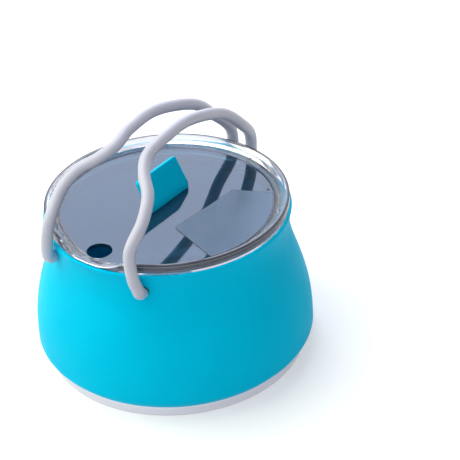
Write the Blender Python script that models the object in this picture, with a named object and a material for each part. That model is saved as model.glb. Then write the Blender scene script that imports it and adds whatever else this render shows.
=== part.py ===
"""Collapsible camping kettle: a folding silicone body on a metal base pan, with a smoked lid, a pull tab and
two sleeved wire handles. Metres, +Z up, origin at the middle of the pan's underside, spout towards -Y."""

import math

import bmesh
import bpy
from mathutils import Matrix, Vector

# Clearances
GAP = 0.0003
CUT_OVERRUN = 0.002

# Base pan
PAN_FOOT_RADIUS = 0.0702
PAN_BAND_FLARE = 0.0009
PAN_BAND_HEIGHT = 0.0066
PAN_RIM_HEIGHT = 0.0036
PAN_SHEET = 0.0012

# Silicone body: the outer wall swells from its hem to the belly, narrows to the waist and flares to its lip
WALL = 0.0022
HEM_PROUD = 0.0003
BELLY_SWELL = 0.0039
BELLY_ABOVE_HEM = 0.0060
WAIST_NARROWING = 0.0108
WAIST_ABOVE_BELLY = 0.0611
LOWER_WALL_ABOVE_BELLY = 0.0111
COLLAR_BELOW_WAIST = 0.0080
COLLAR_ABOVE_WAIST = 0.0120
LIP_PROUD = 0.0017
LIP_FLARE_HEIGHT = 0.0100
LIP_ROUNDING = 0.0007
LIP_FLARE_SHARES = (0.95, 0.6, 0.3)
HEM_CURVE_POWER = 1.6
WALL_CURVE_POWER = 1.39
LIP_FLARE_POWER = 1.5

# Lid
RIM_OVERHANG = 0.0005
RIM_RISE = 0.0060
RIM_TOP_WIDTH = 0.0018
RIM_SLOPE_WIDTH = 0.0062
RIM_ROUNDING = 0.0004
PANEL_DEPTH = 0.0050
LID_SHEET = 0.0020
PLUG_DEPTH = 0.0060
PLUG_THICKNESS = 0.0020

# Spout: over this sector the lid's rim dips and reaches out, and the collar's lip rises to meet it
SPOUT_DIP = 0.0036
SPOUT_REACH = 0.0018
SPOUT_LIP_RISE = 0.0008
SPOUT_FLOOR_REACH = 0.0030
SPOUT_FULL_ANGLE = math.radians(7)
SPOUT_END_ANGLE = math.radians(24)
POUR_HOLE_RADIUS = 0.0067
POUR_HOLE_INSET = 0.0036
POUR_HOLE_ANGLE = math.radians(-92)
VENT_RADIUS = 0.0008
VENT_INSET = 0.0022
VENT_ANGLE = math.radians(48)

# Frosted label on the lid's panel: its inner corners in shares of the panel's radius
LABEL_THICKNESS = 0.0003
LABEL_INSET = 0.0010
LABEL_FRONT_CORNER_SHARES = (0.31, -0.27)
LABEL_REAR_CORNER_SHARES = (0.37, 0.53)
LABEL_FRONT_ARC_ANGLE = math.radians(-28)
LABEL_REAR_ARC_ANGLE = math.radians(44)
LABEL_CORNER = 0.0025

# Pull tab
TAB_LENGTH = 0.0314
TAB_HEIGHT = 0.0160
TAB_THICKNESS = 0.0034
TAB_CORNER = 0.0022
TAB_LEAN = math.radians(29)
TAB_FROM_CENTRE = 0.0040
TAB_LEFT_OF_CENTRE = 0.0024
FOOT_LENGTH = 0.0290
FOOT_WIDTH = 0.0044
FOOT_PLATE = 0.0008
NECK_LENGTH = 0.0220
NECK_THICKNESS = 0.0020
NECK_PROUD = 0.0005

# Stiffening ring inside the collar
RING_THICKNESS = 0.0018
RING_HEIGHT = 0.0072

# Handles: each turns on an axis from a wide front pivot to a close rear pivot, and the line midway between
# them drifts to the left towards the rear
WIRE_RADIUS = 0.0015
SLEEVE_BORE_RADIUS = 0.0019
SLEEVE_RADIUS = 0.0032
FRONT_PIVOT_OFFSET = 0.0295
REAR_PIVOT_OFFSET = 0.0068
HANDLE_DRIFT = 0.0024
LEG_STANDOFF = 0.0051
LEG_BEND_RADIUS = 0.0033
HANDLE_HEIGHT = 0.0611
BUSH_RADIUS = 0.0028
BUSH_PROUD_OUTSIDE = 0.0010
BUSH_PROUD_INSIDE = 0.0017
RETAINER_RADIUS = 0.0036
RETAINER_THICKNESS = 0.0010
WIRE_END_PROUD = 0.0006

# A handle's bow from its front leg to its rear leg: sideways in shares of the front pivot's offset,
# lengthways in shares of the waist's radius, upwards in shares of the handle's height
BOW_SHARES = (
    (0.97, -0.99, 0.19),
    (0.90, -0.96, 0.41),
    (0.92, -0.79, 0.60),
    (0.79, -0.63, 0.74),
    (0.52, -0.51, 0.83),
    (0.35, -0.37, 0.91),
    (0.36, -0.17, 0.97),
    (0.35, 0.17, 0.97),
    (0.31, 0.63, 0.79),
    (0.32, 0.90, 0.54),
    (0.23, 1.07, 0.32),
)

# Fineness
TURN_STEPS = 60
SLEEVE_SIDES = 10
WIRE_SIDES = 8
BEND_STEPS = 3
BOW_STEPS = 3
HOLE_SIDES = 20
LOWER_WALL_ROWS = 6
FOLD_ROWS = 6
LABEL_ARC_STEPS = 12
CORNER_STEPS = 3
EDGE_ANGLE = math.radians(35)

# Places that follow from the sizes above
PAN_BAND_RADIUS = PAN_FOOT_RADIUS + PAN_BAND_FLARE
HEM_HEIGHT = PAN_BAND_HEIGHT + GAP
HEM_RADIUS = PAN_BAND_RADIUS + HEM_PROUD
BELLY_HEIGHT = HEM_HEIGHT + BELLY_ABOVE_HEM
BELLY_RADIUS = HEM_RADIUS + BELLY_SWELL
WAIST_HEIGHT = BELLY_HEIGHT + WAIST_ABOVE_BELLY
WAIST_RADIUS = BELLY_RADIUS - WAIST_NARROWING
FOLD_START_HEIGHT = BELLY_HEIGHT + LOWER_WALL_ABOVE_BELLY
FOLD_END_HEIGHT = WAIST_HEIGHT - COLLAR_BELOW_WAIST
COLLAR_TOP = WAIST_HEIGHT + COLLAR_ABOVE_WAIST
COLLAR_BORE = WAIST_RADIUS - WALL
RIM_RADIUS = WAIST_RADIUS + RIM_OVERHANG
PANEL_RADIUS = RIM_RADIUS - RIM_TOP_WIDTH - RIM_SLOPE_WIDTH
SHOULDER = COLLAR_TOP + GAP
RIM_TOP = COLLAR_TOP + RIM_RISE
PANEL_TOP = RIM_TOP - PANEL_DEPTH
PANEL_UNDERSIDE = PANEL_TOP - LID_SHEET
PLUG_RADIUS = COLLAR_BORE - GAP
PLUG_BOTTOM = SHOULDER - PLUG_DEPTH
RING_TOP = PLUG_BOTTOM - GAP
RING_OUTER = COLLAR_BORE - GAP
RING_INNER = RING_OUTER - RING_THICKNESS
PIVOT_HEIGHT = RING_TOP - RING_HEIGHT / 2
TAB_AXIS_HEIGHT = PANEL_TOP + NECK_PROUD + GAP + TAB_THICKNESS / 2
TAB_PLACE = Vector((-TAB_LEFT_OF_CENTRE, TAB_FROM_CENTRE, TAB_AXIS_HEIGHT))


def clear_scene():
    for old in list(bpy.data.objects):
        bpy.data.objects.remove(old, do_unlink=True)


def make_material(name, colour, roughness, metallic=0.0, alpha=1.0):
    material = bpy.data.materials.new(name)
    material.use_nodes = True
    shader = material.node_tree.nodes["Principled BSDF"]
    shader.inputs["Base Color"].default_value = (*colour, 1.0)
    shader.inputs["Roughness"].default_value = roughness
    shader.inputs["Metallic"].default_value = metallic
    shader.inputs["Alpha"].default_value = alpha
    material.diffuse_color = (*colour, alpha)
    return material


def make_object(name, form, material, parent):
    """An object from a bmesh whose points are in the kettle's frame. It keeps its place under its parent."""
    bmesh.ops.recalc_face_normals(form, faces=form.faces)
    mesh = bpy.data.meshes.new(name)
    form.to_mesh(mesh)
    form.free()
    mesh.materials.append(material)
    mesh.shade_smooth()
    mesh.set_sharp_from_angle(angle=EDGE_ANGLE)
    made = bpy.data.objects.new(name, mesh)
    bpy.context.scene.collection.objects.link(made)
    made.parent = parent
    made.matrix_parent_inverse = parent.matrix_world.inverted()
    return made


def make_pivot(name, place, parent=None, rotation=None):
    """An empty on a joint's axis, which carries the pieces that move with it."""
    pivot = bpy.data.objects.new(name, None)
    bpy.context.scene.collection.objects.link(pivot)
    if parent:
        pivot.parent = parent
        pivot.matrix_parent_inverse = parent.matrix_world.inverted()
    turn = rotation.to_matrix().to_4x4() if rotation else Matrix()
    pivot.matrix_basis = Matrix.Translation(place) @ turn
    bpy.context.view_layer.update()
    return pivot


def cut(target, name, form):
    """Takes a closed form out of the target."""
    bmesh.ops.recalc_face_normals(form, faces=form.faces)
    mesh = bpy.data.meshes.new(name)
    form.to_mesh(mesh)
    form.free()
    cutter = bpy.data.objects.new(name, mesh)
    bpy.context.scene.collection.objects.link(cutter)
    cutter.hide_render = True
    cutter.display_type = "WIRE"
    step = target.modifiers.new(name, "BOOLEAN")
    step.operation = "DIFFERENCE"
    step.solver = "EXACT"
    step.object = cutter


def spout_amount(angle):
    """1 in the middle of the spout's sector, falling smoothly to 0 at its ends."""
    from_front = (angle + math.pi / 2 + math.pi) % (2 * math.pi) - math.pi
    part = (SPOUT_END_ANGLE - abs(from_front)) / (SPOUT_END_ANGLE - SPOUT_FULL_ANGLE)
    part = min(max(part, 0), 1)
    return part * part * (3 - 2 * part)


def turned_form(profile):
    """A closed outline turned about +Z. A point is a radius and a height, and may add how far the spout moves
    it outwards and upwards."""
    form = bmesh.new()
    rings = []
    for radius, height, *moves in profile:
        if radius == 0:
            rings.append([form.verts.new((0, 0, height))])
            continue
        reach, rise = moves or (0, 0)
        ring = []
        for step in range(TURN_STEPS):
            angle = 2 * math.pi * step / TURN_STEPS
            amount = spout_amount(angle)
            out = radius + reach * amount
            up = height + rise * amount
            ring.append(form.verts.new((out * math.cos(angle), out * math.sin(angle), up)))
        rings.append(ring)
    for low, high in zip(rings, rings[1:] + rings[:1]):
        if len(low) == 1 and len(high) == 1:
            continue
        for step in range(TURN_STEPS):
            after = (step + 1) % TURN_STEPS
            below = [low[step % len(low)], low[after % len(low)]]
            above = [high[after % len(high)], high[step % len(high)]]
            form.faces.new(list(dict.fromkeys(below + above)))
    return form


def tube_form(path, outer, bore, sides):
    """A tube along a path of points, open from end to end, or a rod where the bore is 0."""
    form = bmesh.new()
    runs = [(after - before).normalized() for before, after in zip(path, path[1:])]
    across = runs[0].orthogonal()
    outside, inside = [], []
    for point, before, after in zip(path, runs[:1] + runs, runs + runs[-1:]):
        along = (before + after).normalized()
        across = (across - across.dot(along) * along).normalized()
        other = along.cross(across)
        turns = [2 * math.pi * side / sides for side in range(sides)]
        spokes = [math.cos(turn) * across + math.sin(turn) * other for turn in turns]
        outside.append([form.verts.new(point + outer * spoke) for spoke in spokes])
        if bore:
            inside.append([form.verts.new(point + bore * spoke) for spoke in spokes])
    walls = [outside, inside] if bore else [outside]
    for rings in walls:
        for low, high in zip(rings, rings[1:]):
            for side in range(sides):
                after = (side + 1) % sides
                form.faces.new((low[side], low[after], high[after], high[side]))
    for end in (0, -1):
        if not bore:
            form.faces.new(outside[end])
            continue
        for side in range(sides):
            after = (side + 1) % sides
            form.faces.new((outside[end][side], outside[end][after], inside[end][after], inside[end][side]))
    return form


def plate_form(outline, low, high):
    """An outline of (x, y) points as a flat plate between two heights."""
    form = bmesh.new()
    below = [form.verts.new((x, y, low)) for x, y in outline]
    above = [form.verts.new((x, y, high)) for x, y in outline]
    form.faces.new(below)
    form.faces.new(above)
    for index, point in enumerate(below):
        after = (index + 1) % len(below)
        form.faces.new((point, below[after], above[after], above[index]))
    return form


def rectangle(width, length, middle):
    """The corners of a rectangle about a middle point, across in X and along in Y."""
    return [
        (middle[0] + side * width / 2, middle[1] + end * length / 2)
        for side, end in ((-1, -1), (1, -1), (1, 1), (-1, 1))
    ]


def rounded(corners, radius):
    """The outline with each of its corners replaced by an arc of this radius."""
    outline = []
    for index, corner in enumerate(corners):
        corner = Vector(corner)
        before = (Vector(corners[index - 1]) - corner).normalized()
        after = (Vector(corners[(index + 1) % len(corners)]) - corner).normalized()
        half = before.angle(after) / 2
        middle = corner + (before + after).normalized() * radius / math.sin(half)
        start = corner + before * radius / math.tan(half) - middle
        end = corner + after * radius / math.tan(half) - middle
        for step in range(CORNER_STEPS + 1):
            direction = start.normalized().slerp(end.normalized(), step / CORNER_STEPS)
            outline.append(tuple(middle + radius * direction))
    return outline


def wall_radius(height):
    """The outer radius of the silicone body at a height."""
    if height < BELLY_HEIGHT:
        below = (BELLY_HEIGHT - height) / (BELLY_HEIGHT - HEM_HEIGHT)
        return BELLY_RADIUS - (BELLY_RADIUS - HEM_RADIUS) * below**HEM_CURVE_POWER
    if height < WAIST_HEIGHT:
        above = ((height - BELLY_HEIGHT) / (WAIST_HEIGHT - BELLY_HEIGHT)) ** WALL_CURVE_POWER
        return BELLY_RADIUS - (BELLY_RADIUS - WAIST_RADIUS) * above * above * (3 - 2 * above)
    flared = max(height - COLLAR_TOP + LIP_FLARE_HEIGHT, 0) / LIP_FLARE_HEIGHT
    return WAIST_RADIUS + LIP_PROUD * flared**LIP_FLARE_POWER


def wall_profile(low, high, rows):
    """The closed outline of a stretch of the silicone wall."""
    heights = [low + (high - low) * row / rows for row in range(rows + 1)]
    outer = [(wall_radius(height), height) for height in heights]
    inner = [(radius - WALL, height) for radius, height in reversed(outer)]
    return outer + inner


def collar_profile():
    """The closed outline of the collar: a waist that flares to a rounded lip, and a straight bore."""
    lip_moves = (SPOUT_REACH, SPOUT_LIP_RISE)
    middle_height = (FOLD_END_HEIGHT + WAIST_HEIGHT) / 2
    flare_heights = [COLLAR_TOP - LIP_FLARE_HEIGHT * share for share in LIP_FLARE_SHARES]
    outer_heights = (FOLD_END_HEIGHT, middle_height, WAIST_HEIGHT, *flare_heights)
    outer = [(wall_radius(height), height) for height in outer_heights]
    lip_radius = wall_radius(COLLAR_TOP)
    lip = [
        (lip_radius, COLLAR_TOP - LIP_ROUNDING, *lip_moves),
        (lip_radius - LIP_ROUNDING, COLLAR_TOP, *lip_moves),
        (lip_radius - WALL + LIP_ROUNDING, COLLAR_TOP, *lip_moves),
        (lip_radius - WALL, COLLAR_TOP - LIP_ROUNDING, *lip_moves),
    ]
    inner = [
        (COLLAR_BORE, flare_heights[-1]),
        (COLLAR_BORE, WAIST_HEIGHT),
        (wall_radius(middle_height) - WALL, middle_height),
        (wall_radius(FOLD_END_HEIGHT) - WALL, FOLD_END_HEIGHT),
    ]
    return outer + lip + inner


def pan_profile():
    """The closed outline of the pan: floor, outer band and a rim that follows the silicone's inner side."""
    # The rim leans outwards, so it takes twice the gap sideways to stay clear of the silicone
    rim_inset = WALL + 2 * GAP
    rim_foot = wall_radius(HEM_HEIGHT) - rim_inset
    rim_top = PAN_BAND_HEIGHT + PAN_RIM_HEIGHT
    rim_end = wall_radius(rim_top) - rim_inset
    return [
        (0, 0),
        (PAN_FOOT_RADIUS - PAN_SHEET / 2, 0),
        (PAN_FOOT_RADIUS, PAN_SHEET / 2),
        (PAN_BAND_RADIUS, PAN_BAND_HEIGHT),
        (rim_foot, PAN_BAND_HEIGHT),
        (rim_end, rim_top),
        (rim_end - PAN_SHEET, rim_top),
        (rim_foot - PAN_SHEET, PAN_BAND_HEIGHT),
        (PAN_FOOT_RADIUS - PAN_SHEET, 2 * PAN_SHEET),
        (PAN_FOOT_RADIUS - 2 * PAN_SHEET, PAN_SHEET),
        (0, PAN_SHEET),
    ]


def lid_profile():
    """The closed outline of the lid: panel, sloped inner side of the rim, outer side, shoulder and plug."""
    rim_inner = RIM_RADIUS - RIM_TOP_WIDTH
    rim_moves = (SPOUT_REACH, -SPOUT_DIP)
    plug_inner = PLUG_RADIUS - PLUG_THICKNESS
    slope = PANEL_DEPTH / RIM_SLOPE_WIDTH
    slope_start = PANEL_RADIUS + LID_SHEET / 2
    return [
        (0, PANEL_UNDERSIDE),
        (slope_start, PANEL_UNDERSIDE),
        (plug_inner, PANEL_UNDERSIDE + slope * (plug_inner - slope_start)),
        (plug_inner, PLUG_BOTTOM),
        (PLUG_RADIUS - RIM_ROUNDING, PLUG_BOTTOM),
        (PLUG_RADIUS, PLUG_BOTTOM + RIM_ROUNDING),
        (PLUG_RADIUS, SHOULDER, 0, SPOUT_LIP_RISE),
        (RIM_RADIUS, SHOULDER, SPOUT_REACH / 2, SPOUT_LIP_RISE),
        (RIM_RADIUS, RIM_TOP - RIM_ROUNDING, *rim_moves),
        (RIM_RADIUS - RIM_ROUNDING, RIM_TOP, *rim_moves),
        (rim_inner, RIM_TOP, *rim_moves),
        (PANEL_RADIUS, PANEL_TOP, SPOUT_FLOOR_REACH, 0),
        (0, PANEL_TOP),
    ]


def label_outline():
    """The frosted label: an inner edge across the panel, two end edges and an arc along the panel's edge."""
    arc_radius = PANEL_RADIUS - LABEL_INSET
    sweep = LABEL_REAR_ARC_ANGLE - LABEL_FRONT_ARC_ANGLE
    angles = [LABEL_FRONT_ARC_ANGLE + sweep * step / LABEL_ARC_STEPS for step in range(LABEL_ARC_STEPS + 1)]
    arc = [(arc_radius * math.cos(angle), arc_radius * math.sin(angle)) for angle in angles]
    inner = [
        tuple(share * PANEL_RADIUS for share in shares)
        for shares in (LABEL_REAR_CORNER_SHARES, LABEL_FRONT_CORNER_SHARES)
    ]
    straight = [arc[-1], *inner, arc[0]]
    corners = rounded(straight, LABEL_CORNER)
    per_corner = CORNER_STEPS + 1
    return arc + corners[per_corner : 3 * per_corner]


def pivot_line(side):
    """A handle's axis: where it pierces the collar at the front and at the rear, and its direction."""
    front_x = side * FRONT_PIVOT_OFFSET
    rear_x = side * REAR_PIVOT_OFFSET - HANDLE_DRIFT
    front = Vector((front_x, -math.sqrt(WAIST_RADIUS**2 - front_x**2), PIVOT_HEIGHT))
    rear = Vector((rear_x, math.sqrt(WAIST_RADIUS**2 - rear_x**2), PIVOT_HEIGHT))
    return front, rear, (rear - front).normalized()


def depth_to_bore(place, inward):
    """How far in along the axis from the collar's outside the inner side of the stiffening ring lies."""
    flat = place.xy
    middle = -flat.dot(inward.xy)
    return middle - math.sqrt(middle**2 - (flat.length_squared - RING_INNER**2))


def smooth_path(points, steps):
    """Points on a smooth curve through the given points, some steps from each one to the next."""
    curve = []
    for index in range(len(points) - 1):
        before = points[max(index - 1, 0)]
        start, end = points[index], points[index + 1]
        after = points[min(index + 2, len(points) - 1)]
        for step in range(steps):
            t = step / steps
            curve.append(
                0.5
                * (
                    2 * start
                    + (end - before) * t
                    + (2 * before - 5 * start + 4 * end - after) * t**2
                    + (3 * start - before - 3 * end + after) * t**3
                )
            )
    return curve + [points[-1]]


def leg_bend(place, outward):
    """The bend from a pivot's axis up into a leg, as points from the axis to the leg."""
    up = Vector((0, 0, 1))
    middle = place + (LEG_STANDOFF - LEG_BEND_RADIUS) * outward + LEG_BEND_RADIUS * up
    turns = [math.pi / 2 * step / BEND_STEPS for step in range(BEND_STEPS + 1)]
    return [middle + LEG_BEND_RADIUS * (math.sin(turn) * outward - math.cos(turn) * up) for turn in turns]


def handle_path(side):
    """The sleeve's centre line from its front end to its rear end."""
    front, rear, along = pivot_line(side)
    front_bend = leg_bend(front, -along)
    rear_bend = leg_bend(rear, along)
    bow = []
    for side_share, length_share, height_share in BOW_SHARES:
        lengthways = length_share * WAIST_RADIUS
        drift = HANDLE_DRIFT * (lengthways - front.y) / (-2 * front.y)
        across = side * side_share * FRONT_PIVOT_OFFSET - drift
        up = PIVOT_HEIGHT + height_share * HANDLE_HEIGHT
        bow.append(Vector((across, lengthways, up)))
    arch = smooth_path([front_bend[-1], *bow, rear_bend[-1]], BOW_STEPS)
    sleeve_standoff = BUSH_PROUD_OUTSIDE + GAP
    start = front - sleeve_standoff * along
    end = rear + sleeve_standoff * along
    return [start, *front_bend[:-1], *arch, *rear_bend[-2::-1], end]


def make_handle(name, side, collar, ring, materials, carrier):
    """One handle with its sleeve, wire, bushes and retainers, and its holes in the collar and the ring."""
    front, rear, along = pivot_line(side)
    pivot = make_pivot(name + "_handle_pivot", front, carrier, along.to_track_quat("Y", "Z"))
    path = handle_path(side)
    sleeve = tube_form(path, SLEEVE_RADIUS, SLEEVE_BORE_RADIUS, SLEEVE_SIDES)
    make_object(name + "_handle_sleeve", sleeve, materials["sleeve"], pivot)
    wire_ends = []
    for place, inward, end in ((front, along, "front"), (rear, -along, "rear")):
        bore_depth = depth_to_bore(place, inward)
        bush_end = bore_depth + BUSH_PROUD_INSIDE
        hole = [place - CUT_OVERRUN * inward, place + (bush_end + CUT_OVERRUN) * inward]
        for target in (collar, ring):
            hole_name = "_".join((target.name, end, name, "hole"))
            cut(target, hole_name, tube_form(hole, BUSH_RADIUS + GAP, 0, HOLE_SIDES))
        bush = [place - BUSH_PROUD_OUTSIDE * inward, place + bush_end * inward]
        make_object(
            "_".join((end, name, "bush")),
            tube_form(bush, BUSH_RADIUS, WIRE_RADIUS + GAP, HOLE_SIDES),
            materials["bush"],
            carrier,
        )
        retainer_start = bush_end + GAP
        retainer_end = retainer_start + RETAINER_THICKNESS
        retainer = [place + retainer_start * inward, place + retainer_end * inward]
        make_object(
            "_".join((end, name, "retainer")),
            tube_form(retainer, RETAINER_RADIUS, WIRE_RADIUS + GAP, HOLE_SIDES),
            materials["wire"],
            pivot,
        )
        wire_ends.append(place + (retainer_end + WIRE_END_PROUD) * inward)
    wire = tube_form([wire_ends[0], *path, wire_ends[1]], WIRE_RADIUS, 0, WIRE_SIDES)
    make_object(name + "_handle_wire", wire, materials["wire"], pivot)


def make_body(materials):
    """The pan and the silicone body, with the ring that stiffens the collar."""
    ground = make_pivot("base", Vector((0, 0, 0)))
    slide = make_pivot("collar_slide", Vector((0, 0, FOLD_END_HEIGHT)), ground)
    make_object("base_pan", turned_form(pan_profile()), materials["pan"], ground)
    lower = wall_profile(HEM_HEIGHT, FOLD_START_HEIGHT, LOWER_WALL_ROWS)
    make_object("silicone_wall_lower", turned_form(lower), materials["silicone"], ground)
    fold = wall_profile(FOLD_START_HEIGHT + GAP, FOLD_END_HEIGHT - GAP, FOLD_ROWS)
    make_object("silicone_wall_fold", turned_form(fold), materials["silicone"], ground)
    collar = make_object("silicone_collar", turned_form(collar_profile()), materials["silicone"], slide)
    ring_bottom = RING_TOP - RING_HEIGHT
    ring_profile = [
        (RING_OUTER, ring_bottom),
        (RING_OUTER, RING_TOP),
        (RING_INNER, RING_TOP),
        (RING_INNER, ring_bottom),
    ]
    ring = make_object("stiffening_ring", turned_form(ring_profile), materials["bush"], slide)
    return slide, collar, ring


def make_lid(materials, carrier):
    """The lid with its pour hole, vent and tab slot, and its label."""
    slide = make_pivot("lid_slide", Vector((0, 0, SHOULDER)), carrier)
    lid = make_object("lid_shell", turned_form(lid_profile()), materials["lid"], slide)
    low = PANEL_UNDERSIDE - CUT_OVERRUN
    high = PANEL_TOP + CUT_OVERRUN
    holes = (
        ("pour_hole", POUR_HOLE_RADIUS, POUR_HOLE_INSET, POUR_HOLE_ANGLE),
        ("vent_hole", VENT_RADIUS, VENT_INSET, VENT_ANGLE),
    )
    for name, radius, inset, angle in holes:
        from_centre = PANEL_RADIUS - inset
        x = from_centre * math.cos(angle)
        y = from_centre * math.sin(angle)
        cut(lid, name, tube_form([Vector((x, y, low)), Vector((x, y, high))], radius, 0, HOLE_SIDES))
    slot = rectangle(NECK_THICKNESS + 2 * GAP, NECK_LENGTH + 2 * GAP, TAB_PLACE)
    cut(lid, "tab_slot", plate_form(slot, low, high))
    label_bottom = PANEL_TOP + GAP
    label = plate_form(label_outline(), label_bottom, label_bottom + LABEL_THICKNESS)
    make_object("lid_label", label, materials["label"], slide)
    return slide


def foot_form():
    """The tab's foot: a plate under the panel and a neck that comes up through the slot to the flap."""
    section = [
        (FOOT_WIDTH, FOOT_LENGTH, PANEL_UNDERSIDE - GAP - FOOT_PLATE, PANEL_UNDERSIDE - GAP),
        (NECK_THICKNESS, NECK_LENGTH, PANEL_UNDERSIDE - GAP, PANEL_TOP + NECK_PROUD),
    ]
    form = bmesh.new()
    previous = None
    for width, length, low, high in section:
        corners = rectangle(width, length, TAB_PLACE)
        bottom = [form.verts.new((x, y, low)) for x, y in corners]
        top = [form.verts.new((x, y, high)) for x, y in corners]
        for index in range(4):
            after = (index + 1) % 4
            form.faces.new((bottom[index], bottom[after], top[after], top[index]))
            if previous:
                form.faces.new((previous[index], previous[after], bottom[after], bottom[index]))
        if not previous:
            form.faces.new(bottom)
        previous = top
    form.faces.new(previous)
    return form


def tab_form():
    """The upright flap about its fold: a plate with a round lower edge and rounded upper corners."""
    half = TAB_THICKNESS / 2
    shoulder = TAB_HEIGHT - TAB_CORNER
    turns = [math.pi / 2 * step / CORNER_STEPS for step in range(CORNER_STEPS + 1)]
    rows = [(-half * math.sin(turn), half * math.cos(turn), TAB_LENGTH / 2) for turn in reversed(turns[:-1])]
    for turn in turns:
        inset = TAB_CORNER * (1 - math.cos(turn))
        rows.append((shoulder + TAB_CORNER * math.sin(turn), half, TAB_LENGTH / 2 - inset))
    form = bmesh.new()
    rings = []
    for height, x, y in rows:
        corners = ((x, y), (-x, y), (-x, -y), (x, -y))
        rings.append([form.verts.new((*corner, height)) for corner in corners])
    for low, high in zip(rings, rings[1:]):
        for index in range(4):
            after = (index + 1) % 4
            form.faces.new((low[index], low[after], high[after], high[index]))
    form.faces.new(rings[0])
    form.faces.new(rings[-1])
    return form


def make_tab(materials, carrier):
    """The pull tab's foot in the lid, and its flap, which leans to the left."""
    make_object("pull_tab_foot", foot_form(), materials["silicone"], carrier)
    pivot = make_pivot("tab_pivot", TAB_PLACE, carrier)
    flap = tab_form()
    flap.transform(Matrix.Translation(TAB_PLACE) @ Matrix.Rotation(-TAB_LEAN, 4, "Y"))
    make_object("pull_tab", flap, materials["silicone"], pivot)


def main():
    clear_scene()
    materials = {
        "silicone": make_material("turquoise_silicone", (0.0, 0.45, 0.64), 0.45),
        "pan": make_material("satin_metal", (0.72, 0.72, 0.78), 0.30, metallic=1.0),
        "lid": make_material("smoked_plastic", (0.05, 0.07, 0.09), 0.06, alpha=0.6),
        "label": make_material("frosted_film", (0.20, 0.26, 0.30), 0.60),
        "sleeve": make_material("grey_sleeve", (0.47, 0.47, 0.58), 0.50),
        "wire": make_material("steel_wire", (0.60, 0.60, 0.62), 0.30, metallic=1.0),
        "bush": make_material("dark_plastic", (0.10, 0.11, 0.12), 0.50),
    }
    collar_slide, collar, ring = make_body(materials)
    for name, side in (("left", -1), ("right", 1)):
        make_handle(name, side, collar, ring, materials, collar_slide)
    lid_slide = make_lid(materials, collar_slide)
    make_tab(materials, lid_slide)


main()
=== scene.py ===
"""Looks of the collapsible kettle, around its frame: body, pan, smoked lid, pull tab and sleeved handles.

Metres, +Z up, the spout towards -Y. Angles about +Z are counted from +X.
"""

import math

import bmesh
import bpy
from mathutils import Matrix, Vector


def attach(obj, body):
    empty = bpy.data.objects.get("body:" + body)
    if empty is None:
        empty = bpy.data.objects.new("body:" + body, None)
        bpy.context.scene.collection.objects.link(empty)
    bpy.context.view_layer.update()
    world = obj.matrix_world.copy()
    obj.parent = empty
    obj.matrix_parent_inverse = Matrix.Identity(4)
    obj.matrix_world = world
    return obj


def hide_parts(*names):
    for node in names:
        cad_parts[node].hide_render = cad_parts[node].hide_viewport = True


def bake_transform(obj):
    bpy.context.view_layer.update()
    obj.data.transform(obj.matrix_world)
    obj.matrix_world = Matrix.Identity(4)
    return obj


UP = Vector((0, 0, 1))

# Camera: its place and its own axes, in the kettle's frame
CAMERA_PLACE = Vector((0.5848, -0.6728, 0.6579))
CAMERA_RIGHT = Vector((0.7969, 0.6022, -0.0484))
CAMERA_UP = Vector((-0.3010, 0.4651, 0.8325))
CAMERA_LENS = 156.5
CAMERA_SENSOR = 36.0
CAMERA_NEAR = 0.01
CAMERA_FAR = 50.0

# Fineness of the meshes
TURN_STEPS = 192
WALL_ROWS = 64
ROUND_STEPS = 5
TUBE_SIDES = 32
HOLE_SIDES = 48
SMOOTH_ANGLE = math.radians(30)
TAB_SMOOTH_ANGLE = math.radians(50)
LEVEL_FACE = 0.9999

# Clearance between neighbours
GAP = 0.0003

# Base pan
PAN_FOOT_RADIUS = 0.0702
PAN_BAND_FLARE = 0.0009
PAN_BAND_HEIGHT = 0.0066
PAN_RIM_HEIGHT = 0.0036
PAN_SHEET = 0.0012
PAN_EDGE_ROUNDING = 0.0008
PAN_RECESS_DEPTH = 0.0004
PAN_RECESS_RADIUS = 0.0600

# Silicone body: its wall swells from the hem to the belly, narrows to the waist and flares to the lip
WALL = 0.0022
HEM_PROUD = 0.0003
BELLY_SWELL = 0.0039
BELLY_ABOVE_HEM = 0.0060
WAIST_NARROWING = 0.0108
WAIST_ABOVE_BELLY = 0.0611
HEM_CURVE_POWER = 1.6
WALL_CURVE_POWER = 1.39
COLLAR_ABOVE_WAIST = 0.0120
LIP_PROUD = 0.0017
LIP_FLARE_HEIGHT = 0.0100
LIP_FLARE_POWER = 1.5
LIP_ROUNDING = 0.0008
LIP_INNER_ROUNDING = 0.0006
HEM_ROUNDING = 0.0007
BODY_END_MARGIN = 0.0024
SPOUT_HEIGHT = 0.0065

# Lid
RIM_OVERHANG = 0.0005
RIM_RISE = 0.0060
RIM_TOP_WIDTH = 0.0018
RIM_SLOPE_WIDTH = 0.0062
RIM_ROUNDING = 0.0006
PANEL_DEPTH = 0.0050
PANEL_FILLET = 0.0015
LID_SHEET = 0.0020
PLUG_DEPTH = 0.0060
PLUG_THICKNESS = 0.0020
SPOUT_DIP = 0.0036
SPOUT_REACH = 0.0018
SPOUT_LIP_RISE = 0.0008
SPOUT_FLOOR_REACH = 0.0030
SPOUT_FULL_ANGLE = math.radians(7)
SPOUT_END_ANGLE = math.radians(24)
POUR_HOLE_RADIUS = 0.0067
POUR_HOLE_INSET = 0.0036
POUR_HOLE_ANGLE = math.radians(-92)
HOLE_ROUNDING = 0.0004
HOLE_ROUNDING_STEPS = 3
HOLE_EDGE_ANGLE = math.radians(50)
VENT_RADIUS = 0.0008
VENT_INSET = 0.0022
VENT_ANGLE = math.radians(48)

# Painted shade in the lid, dark lines that stand in for the dark edges refraction gives where the plastic
# is seen edge-on: one round the panel, left out at the spout, and one along the top of the rim
PANEL_SHADE_LINE_WIDTH = 0.0009
PANEL_SHADE_LINE_FRONT = 0.0520
RIM_SHADE_LINE_WIDTH = 0.0010

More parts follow.
